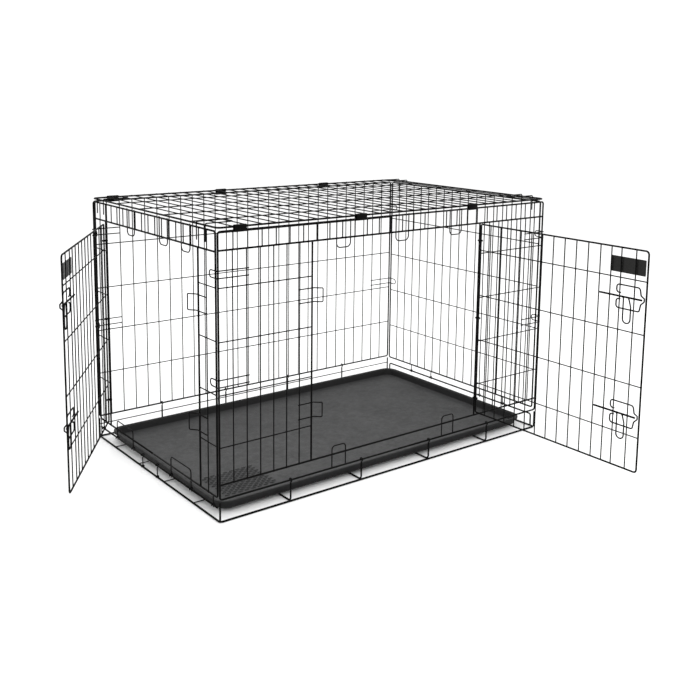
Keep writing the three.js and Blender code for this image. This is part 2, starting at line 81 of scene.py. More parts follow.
LONG_BAYS = 28
END_BAYS = 18
FRONT_BOTTOM = FRONT_LOW.z + FRAME_RADIUS
FRONT_SILL = 103
FRONT_HEADER = 719
FRONT_ROWS = [203, 343, 483, 623]
BACK_ROWS = [212, 352, 490, 630]
RIGHT_ROWS = [200, 343, 485, 627]
LEFT_HEADER = 715
LEFT_ROWS = [203, 341, 483, 622]
LID_ROWS = [-235, -80, 70, 225]
DOORWAY_X = 317
SIDE_BAYS = 7
END_LATCH_Y = -283
END_HINGE_Y = 294
CROSS_WIRES = [-385, -138, 125, 377]
LONG_WIRES = [-243, -68, 95, 262]
LEFT_ROD_Z = 38
RIGHT_ROD_Z = 43
LEFT_ROD_HALF = 372
RIGHT_ROD_HALF = 369
BACK_WIRE_Z = 43
BASE_DROP = 7.25
ROD_FEET = (-25, 70)
RIGHT_END_BOTTOM = 68
LEFT_END_BOTTOM = 66
RIGHT_FEET = (-240, -128, 128, 240)
LEFT_FEET = (-350, 350)
LEFT_HOOPS = ((-229, -112), (135, 248))
HOOP_TOP = 94
CURL_RADIUS = 5.1
SADDLE_RADIUS = 4.3
CURL_STEP = 16
INSIDE = PANEL_HALF + GAP + MESH_RADIUS


# ---------------------------------------------------------------- tools

def deselect():
    bpy.ops.object.select_all(action="DESELECT")


def facing(direction):
    """The turn that takes a flat ring's normal to a direction."""
    return direction.to_track_quat("Z", "Y").to_euler()


def push(step):
    """Extrudes the selected face by a step in metres."""
    bpy.ops.mesh.extrude_region_move(TRANSFORM_OT_translate={"value": step})


def settle(piece):
    """Turns the faces outwards and leaves the piece at the origin."""
    bpy.ops.object.mode_set(mode="EDIT")
    bpy.ops.mesh.select_all(action="SELECT")
    bpy.ops.mesh.normals_make_consistent(inside=False)
    bpy.ops.object.mode_set(mode="OBJECT")
    bpy.ops.object.transform_apply(location=True, rotation=True, scale=True)
    return piece


def apply_modifier(piece, kind, **settings):
    modifier = piece.modifiers.new(kind.title(), kind)
    for key, value in settings.items():
        setattr(modifier, key, value)
    bpy.context.view_layer.objects.active = piece
    bpy.ops.object.modifier_apply(modifier=modifier.name)


def soften(piece, width):
    """Rounds the edges that turn by more than 60 degrees."""
    limit = math.radians(60)
    apply_modifier(piece, "BEVEL", width=width * MM, segments=2, limit_method="ANGLE", angle_limit=limit)


def repeat(piece, step, count):
    """Copies a piece at equal steps, given in millimetres."""
    apply_modifier(
        piece,
        "ARRAY",
        count=count,
        use_relative_offset=False,
        use_constant_offset=True,
        constant_offset_displace=Vector(step) * MM,
    )


def bent_wire(points, radius, bends=5.0, sides=10):
    """Draws a round wire through the points and turns each corner on a bend radius."""
    path = [Vector(point) * MM for point in points]
    radii = bends if isinstance(bends, (list, tuple)) else [bends] * (len(path) - 2)
    thick = radius * MM
    tip = thick * (1 - CUT_END)
    heading = (path[1] - path[0]).normalized()
    deselect()
    bpy.ops.mesh.primitive_circle_add(
        vertices=sides, radius=thick * CUT_END, fill_type="NGON", location=path[0], rotation=facing(heading)
    )
    wire = bpy.context.object
    bpy.ops.object.mode_set(mode="EDIT")
    bpy.ops.mesh.select_all(action="SELECT")
    place = path[0] + heading * tip
    push(heading * tip)
    bpy.ops.transform.resize(value=(1 / CUT_END,) * 3, center_override=place)
    for corner, after, bend in zip(path[1:-1], path[2:], radii):
        ahead = (after - corner).normalized()
        angle = heading.angle(ahead)
        if angle < 0.001:
            continue
        setback = bend * MM * math.tan(angle / 2)
        entry = corner - heading * setback
        push(entry - place)
        axis = heading.cross(ahead).normalized()
        centre = entry + axis.cross(heading) * bend * MM
        steps = max(2, math.ceil(angle / BEND_STEP))
        bpy.ops.mesh.spin(steps=steps, angle=-angle, center=centre, axis=axis)
        place = corner + ahead * setback
        heading = ahead
    end = path[-1] - heading * tip
    push(end - place)
    push(heading * tip)
    bpy.ops.transform.resize(value=(CUT_END,) * 3, center_override=path[-1])
    bpy.ops.object.mode_set(mode="OBJECT")
    return settle(wire)


def closed_wire(corners, radius, bends, sides=10):
    """Bends a closed frame, butt welded in the middle of its first side."""
    first, second = Vector(corners[0]), Vector(corners[1])
    weld = (first + second) / 2
    radii = bends if isinstance(bends, (list, tuple)) else [bends] * len(corners)
    around = [weld, *corners[1:], first, weld]
    return bent_wire(around, radius, [*radii[1:], radii[0]], sides)


def straight_wires(start, end, radius, step=(0, 0, 0), count=1, sides=8):
    """Lays equal straight wires side by side, each a step from the last."""
    start, end = Vector(start), Vector(end)
    along = end - start
    deselect()
    bpy.ops.mesh.primitive_cylinder_add(
        vertices=sides,
        radius=radius * MM,
        depth=along.length * MM,
        location=(start + end) / 2 * MM,
        rotation=facing(along),
    )
    wire = bpy.context.object
    bpy.ops.object.transform_apply(location=True, rotation=True, scale=True)
    if count > 1:
        repeat(wire, step, count)
    return wire


def join(name, parts):
    deselect()
    for part in parts:
        part.select_set(True)
    bpy.context.view_layer.objects.active = parts[0]
    if len(parts) > 1:
        bpy.ops.object.join()
    piece = bpy.context.view_layer.objects.active
    piece.name = name
    piece.data.name = name
    deselect()
    piece.select_set(True)
    bpy.ops.object.shade_smooth_by_angle(angle=SMOOTH_ANGLE)
    return piece


def fit_out(name, parts, body, slot, finish, *nodes):
    """Joins the parts into one piece, and gives it its finish and its body. The slot is not used."""
    piece = join(name, parts)
    piece.data.materials.clear()
    piece.data.materials.append(finish)
    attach(piece, body)
    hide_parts(*nodes)
    return piece


def between(low, high, bays):
    """The pitch of evenly spaced wires between two edge wires."""
    return (high - low) / bays


# ---------------------------------------------------------------- materials

def new_finish(name):
    finish = bpy.data.materials.new(name)
    finish.use_nodes = True
    nodes = finish.node_tree.nodes
    shader = nodes["Principled BSDF"]
    coordinates = nodes.new("ShaderNodeTexCoord")
    return finish, nodes, finish.node_tree.links, shader, coordinates.outputs["Object"]


def noise(nodes, links, place, scale, detail=4.0, roughness=0.55):
    texture = nodes.new("ShaderNodeTexNoise")
    texture.inputs["Scale"].default_value = scale
    texture.inputs["Detail"].default_value = detail
    texture.inputs["Roughness"].default_value = roughness
    links.new(place, texture.inputs["Vector"])
    return texture.outputs["Fac"]


def spread(nodes, links, value, low, high, to_low, to_high):
    mapped = nodes.new("ShaderNodeMapRange")
    mapped.inputs["From Min"].default_value = low
    mapped.inputs["From Max"].default_value = high
    mapped.inputs["To Min"].default_value = to_low
    mapped.inputs["To Max"].default_value = to_high
    links.new(value, mapped.inputs["Value"])
    return mapped.outputs["Result"]


def tint(nodes, links, factor, dark, light):
    mix = nodes.new("ShaderNodeMix")
    mix.data_type = "RGBA"
    mix.inputs[6].default_value = (*dark, 1)
    mix.inputs[7].default_value = (*light, 1)
    links.new(factor, mix.inputs[0])
    return mix.outputs[2]


def bump(nodes, links, shader, height, strength, distance, after=None):
    node = nodes.new("ShaderNodeBump")
    node.inputs["Strength"].default_value = strength
    node.inputs["Distance"].default_value = distance
    links.new(height, node.inputs["Height"])
    if after is not None:
        links.new(after, node.inputs["Normal"])
    links.new(node.outputs["Normal"], shader.inputs["Normal"])
    return node.outputs["Normal"]


def powder_coat(name, dark, light, smooth, rough, rub=0.0):
    """Black powder coat: a faint orange peel, a mottled sheen and a little rubbed metal."""
    finish, nodes, links, shader, place = new_finish(name)
    mottle = noise(nodes, links, place, 38, 3)
    colour = tint(nodes, links, spread(nodes, links, mottle, 0.35, 0.65, 0, 1), dark, light)
    if rub:
        scuffs = noise(nodes, links, place, 260, 6, 0.7)
        worn = spread(nodes, links, scuffs, 0.62, 0.72, 0, rub)
        mix = nodes.new("ShaderNodeMix")
        mix.data_type = "RGBA"
        mix.inputs[7].default_value = (0.16, 0.155, 0.15, 1)
        links.new(worn, mix.inputs[0])
        links.new(colour, mix.inputs[6])
        colour = mix.outputs[2]
    links.new(colour, shader.inputs["Base Color"])
    sheen = noise(nodes, links, place, 120, 4)
    links.new(spread(nodes, links, sheen, 0.3, 0.7, smooth, rough), shader.inputs["Roughness"])
    peel = noise(nodes, links, place, 1600, 2)
    bump(nodes, links, shader, peel, 0.25, 0.0002)
    shader.inputs["Specular IOR Level"].default_value = 0.05
    return finish


def tray_plastic():
    """Moulded plastic: a paler pebbled floor with random patches, and a smoother rim; the walls and rim are
    painted much darker than the floor, as painted shade.
    """
    finish, nodes, links, shader, place = new_finish("moulded_tray_plastic")
    split = nodes.new("ShaderNodeSeparateXYZ")
    links.new(place, split.inputs["Vector"])
    # Mask for the painted shade: 0 on the floor, 1 on the walls and rim above it.
    height = spread(nodes, links, split.outputs["Z"], 0.0108, 0.0122, 0, 1)
    clouds = noise(nodes, links, place, 9, 5, 0.6)
    patches = spread(nodes, links, clouds, 0.3, 0.7, 0, 1)
    floor_tone = tint(nodes, links, patches, (0.026, 0.0263, 0.0268), (0.040, 0.0404, 0.0408))
    # Walls and rim take a fixed dark grey: painted shade on the same plastic as the floor.
    floor_and_painted_wall_shade = nodes.new("ShaderNodeMix")
    floor_and_painted_wall_shade.data_type = "RGBA"
    floor_and_painted_wall_shade.inputs[7].default_value = (0.0062, 0.0062, 0.0064, 1)
    links.new(height, floor_and_painted_wall_shade.inputs[0])
    links.new(floor_tone, floor_and_painted_wall_shade.inputs[6])
    links.new(floor_and_painted_wall_shade.outputs[2], shader.inputs["Base Color"])
    scuff = noise(nodes, links, place, 55, 6, 0.65)
    links.new(spread(nodes, links, scuff, 0.3, 0.7, 0.5, 0.68), shader.inputs["Roughness"])
    pebbles = nodes.new("ShaderNodeTexVoronoi")
    pebbles.inputs["Scale"].default_value = 420
    links.new(place, pebbles.inputs["Vector"])
    grain = bump(nodes, links, shader, pebbles.outputs["Distance"], 0.55, 0.0006)
    fine = noise(nodes, links, place, 1500, 2)
    bump(nodes, links, shader, fine, 0.2, 0.0002, grain)
    shader.inputs["Specular IOR Level"].default_value = 0.2
    return finish


def plate_plastic():
    """Smooth black plate with faint brushed streaks."""
    finish, nodes, links, shader, place = new_finish("blank_plate_plastic")
    stretch = nodes.new("ShaderNodeMapping")
    stretch.inputs["Scale"].default_value = (40, 40, 600)
    links.new(place, stretch.inputs["Vector"])
    streaks = noise(nodes, links, stretch.outputs["Vector"], 3, 4)
    brushed = spread(nodes, links, streaks, 0.3, 0.7, 0, 1)
    colour = tint(nodes, links, brushed, (0.0035, 0.0034, 0.003), (0.008, 0.0078, 0.007))
    links.new(colour, shader.inputs["Base Color"])
    links.new(spread(nodes, links, streaks, 0.3, 0.7, 0.32, 0.46), shader.inputs["Roughness"])
    bump(nodes, links, shader, streaks, 0.08, 0.0002)
    shader.inputs["Specular IOR Level"].default_value = 0.25
    return finish


COAT_BLACK = (0.0004, 0.0004, 0.0004)
WIRE = powder_coat("black_powder_coated_wire", COAT_BLACK, (0.0014, 0.0013, 0.0013), 0.42, 0.6)
HARDWARE = powder_coat("black_coated_hardware", COAT_BLACK, (0.0016, 0.0015, 0.0014), 0.36, 0.52, 0.12)
TRAY = tray_plastic()
PLATE = plate_plastic()


# ---------------------------------------------------------------- base frame

def curl(x, y, z, axis="X", radius=CURL_RADIUS, turn=285, start=-105):
    """A wire end curled round another wire that runs along the axis, open at one side."""
    along = Vector((1, 0, 0)) if axis == "X" else Vector((0, 1, 0))
    centre = Vector((x, y, z)) * MM
    arm = Matrix.Rotation(math.radians(start), 3, along) @ Vector((0, 0, radius * MM))
    deselect()
    bpy.ops.mesh.primitive_circle_add(
        vertices=8,
        radius=MESH_RADIUS * MM,
        fill_type="NGON",
        location=centre + arm,
        rotation=facing(along.cross(arm)),
    )
    ring = bpy.context.object
    bpy.ops.object.mode_set(mode="EDIT")
    bpy.ops.mesh.select_all(action="SELECT")
    bpy.ops.mesh.spin(steps=round(turn / CURL_STEP), angle=-math.radians(turn), center=centre, axis=along)
    bpy.ops.object.mode_set(mode="OBJECT")
    return settle(ring)


def build_base():
    rail_z = FRAME_RADIUS
    floor_wire_z = 2 * FRAME_RADIUS + 0.6 - MESH_RADIUS
    front_top = FRONT_BOTTOM - BASE_DROP
    back_top = BACK_LOW.z + FRAME_RADIUS - BASE_DROP
    rail = [
        (-POST_X, FRONT_Y, rail_z),
        (POST_X, FRONT_Y, rail_z),
        (POST_X, BACK_Y, rail_z),
        (-POST_X, BACK_Y, rail_z),
    ]
    parts = [closed_wire(rail, FRAME_RADIUS, 9)]
    for x in CROSS_WIRES:
        bail = [(x, FRONT_Y, front_top), (x, FRONT_Y, rail_z), (x, BACK_Y, rail_z), (x, BACK_Y, back_top)]
        parts.append(bent_wire(bail, FRAME_RADIUS - 0.1, 11))
    for x in (-POST_X, POST_X):
        for y, top in ((FRONT_Y, front_top), (BACK_Y, back_top)):
            parts.append(bent_wire([(x, y, rail_z), (x, y, top)], FRAME_RADIUS))
    for offset in LONG_WIRES:
        y = MIDDLE_Y + offset
        parts.append(straight_wires((-POST_X, y, floor_wire_z), (POST_X, y, floor_wire_z), MESH_RADIUS))
    parts.append(straight_wires((-POST_X, BACK_Y, BACK_WIRE_Z), (POST_X, BACK_Y, BACK_WIRE_Z), MESH_RADIUS))
    parts.extend(left_rod(rail_z))
    parts.append(right_rod(rail_z))
    fit_out("wire_base_frame", parts, "crate", "wire", WIRE, "base_frame")


def left_rod(rail_z):
    """The rod that the left end folds on, held over the rail by two curled links."""
    near, far = MIDDLE_Y - LEFT_ROD_HALF, MIDDLE_Y + LEFT_ROD_HALF
    parts = [bent_wire([(-POST_X, near, LEFT_ROD_Z), (-POST_X, far, LEFT_ROD_Z)], FRAME_RADIUS)]
    for offset in ROD_FEET:
        y = MIDDLE_Y + offset
        low, high = (-POST_X, y, rail_z + SADDLE_RADIUS), (-POST_X, y, LEFT_ROD_Z - CURL_RADIUS)
        parts.append(curl(-POST_X, y, LEFT_ROD_Z, "Y", turn=270, start=-90))
        parts.append(straight_wires(low, high, MESH_RADIUS))
        parts.append(curl(-POST_X, y, rail_z, "Y", SADDLE_RADIUS, 180, -90))
    return parts


def right_rod(rail_z):
    """The bail that the right end folds on, bent down to the rail at both ends."""
    near, far = MIDDLE_Y - RIGHT_ROD_HALF, MIDDLE_Y + RIGHT_ROD_HALF
    bail = [
        (POST_X, near, rail_z),
        (POST_X, near, RIGHT_ROD_Z),
        (POST_X, far, RIGHT_ROD_Z),
        (POST_X, far, rail_z),
    ]
    return bent_wire(bail, FRAME_RADIUS, 7)


def build_base_curls():
    for side, y, z in (("front", FRONT_Y, FRONT_BOTTOM), ("back", BACK_Y, BACK_LOW.z + FRAME_RADIUS)):
        for i, x in enumerate(CROSS_WIRES, 1):
            name, node = f"{side}_rail_curl_{i}", f"{side}_base_eye_{i}"
            under = z - CURL_RADIUS
            tail = bent_wire([(x, y, under), (x, y, under - MESH_RADIUS + 0.2)], MESH_RADIUS)
            fit_out(name, [curl(x, y, z), tail], "crate", "hardware", HARDWARE, node)


# ---------------------------------------------------------------- panels

def upright_frame(x0, x1, y, z0, z1, radius=FRAME_RADIUS, bend=7):
    return closed_wire([(x0, y, z0), (x1, y, z0), (x1, y, z1), (x0, y, z1)], radius, bend)


def end_frame(x, y0, y1, z0, z1, bend=7):
    return closed_wire([(x, y0, z0), (x, y1, z0), (x, y1, z1), (x, y0, z1)], FRAME_RADIUS, bend)


HOOK_LEG = 92
HOOK_WRAP = 34
HOOK_HALF = 9.5
FRONT_HOOKS = (376, 659)
BACK_HOOKS = (376, 669)


def corner_hairpins(plane_y, side, levels):
    """Hairpins on a panel's outer face whose loops turn round the end panels' posts."""
    face = plane_y + side * (PANEL_HALF + MESH_RADIUS - 0.5)
    past = LID_HIGH.x + 0.4 + MESH_RADIUS
    tip = plane_y - side * HOOK_WRAP
    wires = []
    for end in (-1, 1):
        for z in levels:
            low, high = z - HOOK_HALF, z + HOOK_HALF
            leg = [(end * (LID_HIGH.x - HOOK_LEG), face), (end * past, face), (end * past, tip)]
            points = [(x, y, low) for x, y in leg] + [(x, y, high) for x, y in reversed(leg)]
            wires.append(bent_wire(points, MESH_RADIUS, [5, 9, 9, 5]))
    return wires


def build_front():
    outer = FRONT_Y - PANEL_HALF + MESH_RADIUS
    rail = FRONT_Y + RAIL_SHIFT
    parts = [upright_frame(-POST_X, POST_X, FRONT_Y, FRONT_BOTTOM, TOP_Z)]
    for z in (FRONT_SILL, FRONT_HEADER):
        parts.append(straight_wires((-POST_X, rail, z), (POST_X, rail, z), FRAME_RADIUS, sides=12))
    pitch = between(-POST_X, POST_X, LONG_BAYS)
    low, high = (-POST_X + pitch, outer, FRONT_HEADER - OVERLAP), (-POST_X + pitch, outer, TOP_Z + OVERLAP)
    parts.append(straight_wires(low, high, MESH_RADIUS, (pitch, 0, 0), LONG_BAYS - 1))
    side_pitch = between(DOORWAY_X, POST_X, SIDE_BAYS)
    for first in (-POST_X + side_pitch, DOORWAY_X + side_pitch):
        low, high = (first, outer, FRONT_SILL - OVERLAP), (first, outer, FRONT_HEADER + OVERLAP)
        parts.append(straight_wires(low, high, MESH_RADIUS, (side_pitch, 0, 0), SIDE_BAYS - 1))
    for x in (-DOORWAY_X, DOORWAY_X):
        parts.append(bent_wire([(x, FRONT_Y, FRONT_SILL), (x, FRONT_Y, FRONT_HEADER)], FRAME_RADIUS))
    inner = FRONT_Y + PANEL_HALF - MESH_RADIUS
    for z in FRONT_ROWS:
        parts.append(straight_wires((-POST_X, inner, z), (-DOORWAY_X, inner, z), MESH_RADIUS))
        parts.append(straight_wires((DOORWAY_X, inner, z), (POST_X, inner, z), MESH_RADIUS))
    parts.extend(corner_hairpins(FRONT_Y, -1, FRONT_HOOKS))
    fit_out("wire_front_panel", parts, "crate", "wire", WIRE, "front_panel")


def build_back():
    outer = BACK_Y + PANEL_HALF - MESH_RADIUS
    inner = BACK_Y - PANEL_HALF + MESH_RADIUS
    low, high = BACK_LOW.z + FRAME_RADIUS, BACK_HIGH.z - FRAME_RADIUS
    pitch = between(-POST_X, POST_X, LONG_BAYS)
    parts = [upright_frame(-POST_X, POST_X, BACK_Y, low, high)]
    start, end = (-POST_X + pitch, outer, low - OVERLAP), (-POST_X + pitch, outer, high + OVERLAP)
    parts.append(straight_wires(start, end, MESH_RADIUS, (pitch, 0, 0), LONG_BAYS - 1))
    for z in BACK_ROWS:
        parts.append(straight_wires((-POST_X, inner, z), (POST_X, inner, z), MESH_RADIUS))
    parts.extend(corner_hairpins(BACK_Y, 1, BACK_HOOKS))
    fit_out("wire_back_panel", parts, "crate", "wire", WIRE, "back_panel")


def build_lid():
    edge_x = LID_HIGH.x - FRAME_RADIUS
    rim_z = LID_Z - 0.3
    rim = [
        (-edge_x, FRONT_Y, rim_z),
        (edge_x, FRONT_Y, rim_z),
        (edge_x, BACK_Y, rim_z),
        (-edge_x, BACK_Y, rim_z),
    ]
    parts = [closed_wire(rim, FRAME_RADIUS, 14)]
    pitch = between(-edge_x, edge_x, LONG_BAYS)
    above = LID_Z + PANEL_HALF - MESH_RADIUS
    below = LID_Z - PANEL_HALF + MESH_RADIUS
    start, end = (-edge_x + pitch, FRONT_Y - OVERLAP, above), (-edge_x + pitch, BACK_Y + OVERLAP, above)
    parts.append(straight_wires(start, end, MESH_RADIUS, (pitch, 0, 0), LONG_BAYS - 1))
    for offset in LID_ROWS:
        y = MIDDLE_Y + offset
        parts.append(straight_wires((-edge_x, y, below), (edge_x, y, below), MESH_RADIUS))
    fit_out("wire_lid_panel", parts, "crate", "wire", WIRE, "top_panel")


def build_right_end():
    x = (RIGHT_LOW.x + RIGHT_HIGH.x) / 2
    low, high = RIGHT_END_BOTTOM, TOP_Z
    y0, y1 = MIDDLE_Y - END_EDGE, MIDDLE_Y + END_EDGE
    outer, inner = x + PANEL_HALF - MESH_RADIUS, x - PANEL_HALF + MESH_RADIUS
    pitch = between(y0, y1, END_BAYS)
    parts = [end_frame(x, y0, y1, low, high)]
    start, end = (outer, y0 + pitch, low - OVERLAP), (outer, y0 + pitch, high + OVERLAP)
    parts.append(straight_wires(start, end, MESH_RADIUS, (0, pitch, 0), END_BAYS - 1))
    for z in RIGHT_ROWS:
        parts.append(straight_wires((inner, y0, z), (inner, y1, z), MESH_RADIUS))
    for offset in RIGHT_FEET:
        y = MIDDLE_Y + offset
        parts.append(curl(x, y, RIGHT_ROD_Z, "Y"))
        parts.append(straight_wires((x, y, RIGHT_ROD_Z + CURL_RADIUS), (x, y, low), MESH_RADIUS))
    fit_out("wire_right_end", parts, "right_end", "wire", WIRE, "right_end_panel")


def build_left_end():
    x = (LEFT_LOW.x + LEFT_HIGH.x) / 2
    low, high = LEFT_END_BOTTOM, TOP_Z
    y0, y1 = MIDDLE_Y - END_EDGE, MIDDLE_Y + END_EDGE
    latch, hinge = MIDDLE_Y + END_LATCH_Y, MIDDLE_Y + END_HINGE_Y
    outer, inner = x - PANEL_HALF + MESH_RADIUS, x + PANEL_HALF - MESH_RADIUS
    pitch = between(y0, y1, END_BAYS)
    parts = [end_frame(x, y0, y1, low, high)]
    rail = x + RAIL_SHIFT
    parts.append(straight_wires((rail, y0, LEFT_HEADER), (rail, y1, LEFT_HEADER), FRAME_RADIUS, sides=12))
    start, end = (outer, y0 + pitch, LEFT_HEADER - OVERLAP), (outer, y0 + pitch, high + OVERLAP)
    parts.append(straight_wires(start, end, MESH_RADIUS, (0, pitch, 0), END_BAYS - 1))
    for y in (latch, hinge):
        parts.append(bent_wire([(x, y, low), (x, y, LEFT_HEADER)], FRAME_RADIUS))
    for edge, post in ((y0, latch), (y1, hinge)):
        middle = (edge + post) / 2
        start, end = (outer, middle, low - OVERLAP), (outer, middle, LEFT_HEADER + OVERLAP)
        parts.append(straight_wires(start, end, MESH_RADIUS))
        for z in LEFT_ROWS:
            parts.append(straight_wires((inner, edge, z), (inner, post, z), MESH_RADIUS))
    for near, far in LEFT_HOOPS:
        ends = [MIDDLE_Y + near, MIDDLE_Y + far]
        foot = LEFT_ROD_Z + CURL_RADIUS
        hoop = [(x, ends[0], foot), (x, ends[0], HOOP_TOP), (x, ends[1], HOOP_TOP), (x, ends[1], foot)]
        parts.append(bent_wire(hoop, MESH_RADIUS, 9))
        parts.extend(curl(x, y, LEFT_ROD_Z, "Y") for y in ends)
    for offset in LEFT_FEET:
        y = MIDDLE_Y + offset
        parts.append(curl(x, y, LEFT_ROD_Z, "Y"))
        parts.append(straight_wires((x, y, LEFT_ROD_Z + CURL_RADIUS), (x, y, low), MESH_RADIUS))
    fit_out("wire_left_end", parts, "left_end", "wire", WIRE, "left_end_panel")


# ---------------------------------------------------------------- small wire forms

STOP_HALF = 24
STOP_LOW = 690
SILL_STOP_HIGH = 126
STOP_BEND = 13
SILL_STOP_BEND = 10
FRONT_STOPS = (-208, 5, 218)
SILL_STOPS = (-217, 207)
END_STOPS = (-208, -80, 127)


def build_stops():
    top = TOP_Z + FRAME_RADIUS
    y = FRONT_Y + INSIDE
    for i, x in enumerate(FRONT_STOPS, 1):
        ends = x - STOP_HALF, x + STOP_HALF
        low = STOP_LOW + MESH_RADIUS
        drop = [(ends[0], y, top), (ends[0], y, low), (ends[1], y, low), (ends[1], y, top)]
        stop = bent_wire(drop, MESH_RADIUS, STOP_BEND)
        fit_out(f"front_stop_hairpin_{i}", [stop], "crate", "wire", WIRE, f"front_door_stop_{i}")
    foot = FRONT_LOW.z
    for i, x in enumerate(SILL_STOPS, 1):
        ends = x - STOP_HALF, x + STOP_HALF
        peak = SILL_STOP_HIGH - MESH_RADIUS
        arch = [(ends[0], y, foot), (ends[0], y, peak), (ends[1], y, peak), (ends[1], y, foot)]
        stop = bent_wire(arch, MESH_RADIUS, SILL_STOP_BEND)
        fit_out(f"sill_stop_arch_{i}", [stop], "crate", "wire", WIRE, f"front_sill_stop_{i}")
    x = -POST_X + INSIDE
    for i, offset in enumerate(END_STOPS, 1):
        ends = MIDDLE_Y + offset - STOP_HALF, MIDDLE_Y + offset + STOP_HALF
        low = STOP_LOW + MESH_RADIUS
        drop = [(x, ends[0], top), (x, ends[0], low), (x, ends[1], low), (x, ends[1], top)]
        stop = bent_wire(drop, MESH_RADIUS, STOP_BEND)
        fit_out(f"end_stop_hairpin_{i}", [stop], "left_end", "wire", WIRE, f"end_door_stop_{i}")


KEEPER_START = 2
KEEPER_TIP = 72
KEEPER_OUT = 20.0
KEEPER_PAST = 50
KEEPER_BENDS = [4, 0.6, 3, 3, 0.6, 4]
FRONT_KEEPERS = {"upper": (554, 592), "lower": (231, 272)}
END_KEEPERS = {"upper": (549, 592), "lower": (224, 270)}


def keeper_profile():
    """Along and out: flat on the panel's face, then stepped out to the tip."""
    return [
        (KEEPER_START, INSIDE),
        (KEEPER_TIP - 20, INSIDE),
        (KEEPER_TIP - 6, KEEPER_OUT - 2),
        (KEEPER_TIP, KEEPER_OUT),
    ]


def build_keepers():
    for which, (low, high) in FRONT_KEEPERS.items():
        x0 = -DOORWAY_X - KEEPER_PAST
        near = [(x0 + a, FRONT_Y - b, low) for a, b in keeper_profile()]
        far = [(x0 + a, FRONT_Y - b, high) for a, b in reversed(keeper_profile())]
        wire = bent_wire([*near, *far], MESH_RADIUS, KEEPER_BENDS)
        fit_out(f"front_{which}_catch_loop", [wire], "crate", "wire", WIRE, f"front_{which}_keeper")
    for which, (low, high) in END_KEEPERS.items():
        y0 = MIDDLE_Y + END_LATCH_Y - KEEPER_PAST
        near = [(-POST_X - b, y0 + a, low) for a, b in keeper_profile()]
        far = [(-POST_X - b, y0 + a, high) for a, b in reversed(keeper_profile())]
        wire = bent_wire([*near, *far], MESH_RADIUS, KEEPER_BENDS)
        fit_out(f"end_{which}_catch_loop", [wire], "left_end", "wire", WIRE, f"end_{which}_keeper")


LID_HOOK_HALF = 23
LID_HOOK_REACH = 78
LID_HOOK_BOTTOM = 735
LID_HOOK_PLACES = (("front", -310), ("back", 318))


def build_lid_hooks():
    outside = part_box("right_front_lid_hook")[1][0] / MM - MESH_RADIUS
    inside = POST_X - LID_HOOK_REACH
    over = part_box("right_front_lid_hook")[1][2] / MM - MESH_RADIUS
    profile = [(outside, LID_HOOK_BOTTOM), (outside, over), (inside, over)]
    for end, sign in (("left", -1), ("right", 1)):
        for corner, offset in LID_HOOK_PLACES:
            y = MIDDLE_Y + offset
            near = [(sign * x, y - LID_HOOK_HALF, z) for x, z in profile]
            far = [(sign * x, y + LID_HOOK_HALF, z) for x, z in reversed(profile)]
            wire = bent_wire([*near, *far], MESH_RADIUS, [3.5, 12, 12, 3.5])
            name, node = f"{end}_{corner}_lid_hairpin", f"{end}_{corner}_lid_hook"
            fit_out(name, [wire], "crate", "hardware", HARDWARE, node)


SLEEVE_CORNER = 3.2
SLEEVE_WALL = 1.7
SLEEVE_EDGE = 0.6


def build_sleeves():
    """Sleeves round the lid's rim and the panel's top rail: a rounded ring drawn out and softened."""
    for side in ("front", "back"):
        for i in (1, 2, 3):
            node = f"{side}_lid_sleeve_{i}"
            low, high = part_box(node)
            centre = (Vector(low) + Vector(high)) / 2
            size = Vector(high) - Vector(low)
            deselect()
            mouth = centre - Vector((size.x / 2, 0, 0))
            bpy.ops.mesh.primitive_plane_add(size=1, location=mouth, rotation=(0, math.pi / 2, 0))
            sleeve = bpy.context.object
            sleeve.scale = (size.z, size.y, 1)
            bpy.ops.object.transform_apply(location=True, rotation=True, scale=True)
            bpy.ops.object.mode_set(mode="EDIT")
            bpy.ops.mesh.select_all(action="SELECT")
            bpy.ops.mesh.bevel(offset=SLEEVE_CORNER * MM, segments=4, affect="VERTICES")
            bpy.ops.mesh.select_all(action="SELECT")
            bpy.ops.mesh.inset(thickness=SLEEVE_WALL * MM)
            bpy.ops.mesh.delete(type="FACE")
            bpy.ops.object.mode_set(mode="OBJECT")
            apply_modifier(sleeve, "SOLIDIFY", thickness=size.x, offset=1)
            low_x = min(vertex.co.x for vertex in sleeve.data.vertices)
            sleeve.location.x = low[0] - low_x
            bpy.ops.object.transform_apply(location=True, rotation=True, scale=True)
            soften(sleeve, SLEEVE_EDGE)
            settle(sleeve)
            fit_out(f"{side}_rim_sleeve_{i}", [sleeve], "crate", "hardware", HARDWARE, node)


# ---------------------------------------------------------------- doors

EDGE_BAYS = [36, 32, 46, 37]
ROD_RADIUS = 2.7
LATCH_RADIUS = 2.0
ROD_OUT = 5.8
ROD_BACK = 153
BOLT_TIP = 17
BRACKET_BACK = 97
BRACKET_TIP = 20
BRACKET_HIGH = 32
HANDLE_BACK = 66
HANDLE_HALF = 12
HANDLE_DROP = 72
HANDLE_NECK = 26
HINGE_OUT = 7.1
DOOR_BENDS = [5, 9, 9, 5]
BRACKET_BENDS = [8, 8, 8, 3, 2.5, 2.5, 3, 6, 8, 8]
HANDLE_BENDS = [1.5, 11.6, 11.6, 8, 1.5]

DOORS = {
    "front": {
        "hinge": (DOORWAY_X, FRONT_Y - HINGE_OUT),
        "turn": 270,
        "side": 1,
        "width": 600,
        "rows": [115, 211, 351, 493, 635, 716],
        "bays": 11,
        "latches": {"upper": 583, "lower": 262},
        "gate": "front_gate",
    },
    "end": {
        "hinge": (-POST_X - HINGE_OUT, MIDDLE_Y + END_HINGE_Y),
        "turn": 236,
        "side": -1,
        "width": 546,
        "rows": [82, 197, 339, 483, 627, 706],
        "bays": 10,
        "latches": {"upper": 573, "lower": 250},
        "gate": "end_gate",
    },
}


